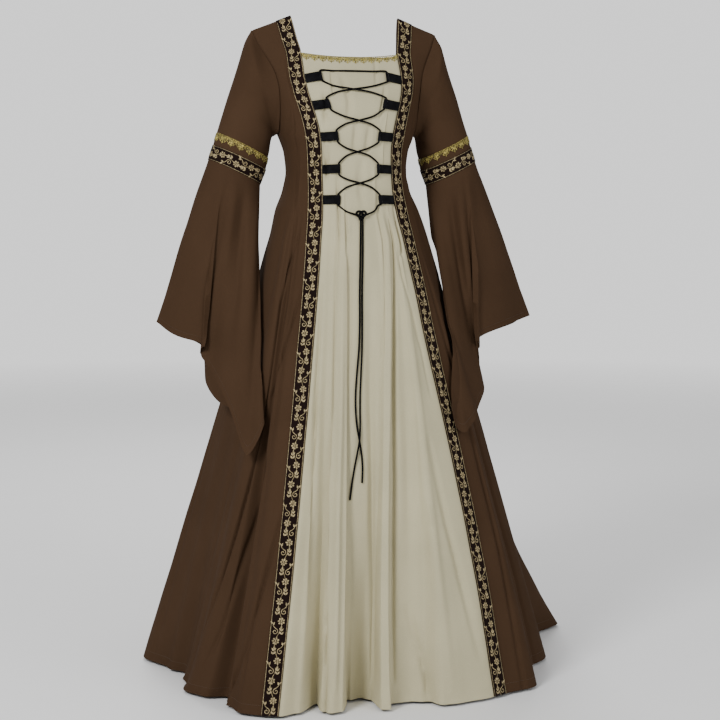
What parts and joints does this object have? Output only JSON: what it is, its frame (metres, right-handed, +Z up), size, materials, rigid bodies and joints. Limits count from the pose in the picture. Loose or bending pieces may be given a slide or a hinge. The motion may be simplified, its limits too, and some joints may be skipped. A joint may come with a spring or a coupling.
{
  "type": "historical dress",
  "caption": "Floor-length laced gown with a square neck, a flared folded skirt, trumpet sleeves with long points and woven ribbon trims, in the form it has when worn.",
  "frame": {"origin": "between the two shoulder straps, level with the top of the shoulders, where the wearer holds the dress up", "axes": "+Z up along the dress's length, the front faces -Y, the wearer's left is +X"},
  "size_m": [0.9835, 0.8359, 1.388],
  "materials": {
    "brown": "matt smooth twill",
    "cream": "matt smooth twill",
    "ribbon": "woven with gold flowers",
    "braid": "gold braid with a soft gloss",
    "velvet": "velvet",
    "lace": "round cord with a soft gloss"
  },
  "bodies": {
    "root": {"front_panel": "cream", "side_front_left": "brown", "side_front_right": "brown", "back_left": "brown", "back_right": "brown", "upper_sleeve_left": "brown", "upper_sleeve_right": "brown", "lower_sleeve_left": "brown", "lower_sleeve_right": "brown", "sleeve_braid_left": "braid", "sleeve_braid_right": "braid", "sleeve_ribbon_left": "ribbon", "sleeve_ribbon_right": "ribbon", "front_ribbon_left": "ribbon", "front_ribbon_right": "ribbon", "neck_braid": "braid", "loop_left_1": "velvet", "loop_left_2": "velvet", "loop_left_3": "velvet", "loop_left_4": "velvet", "loop_left_5": "velvet", "loop_right_1": "velvet", "loop_right_2": "velvet", "loop_right_3": "velvet", "loop_right_4": "velvet", "loop_right_5": "velvet", "lace": "lace", "lace_knot": "lace", "lace_end_left": "lace", "lace_end_right": "lace"}
  },
  "joints": []
}
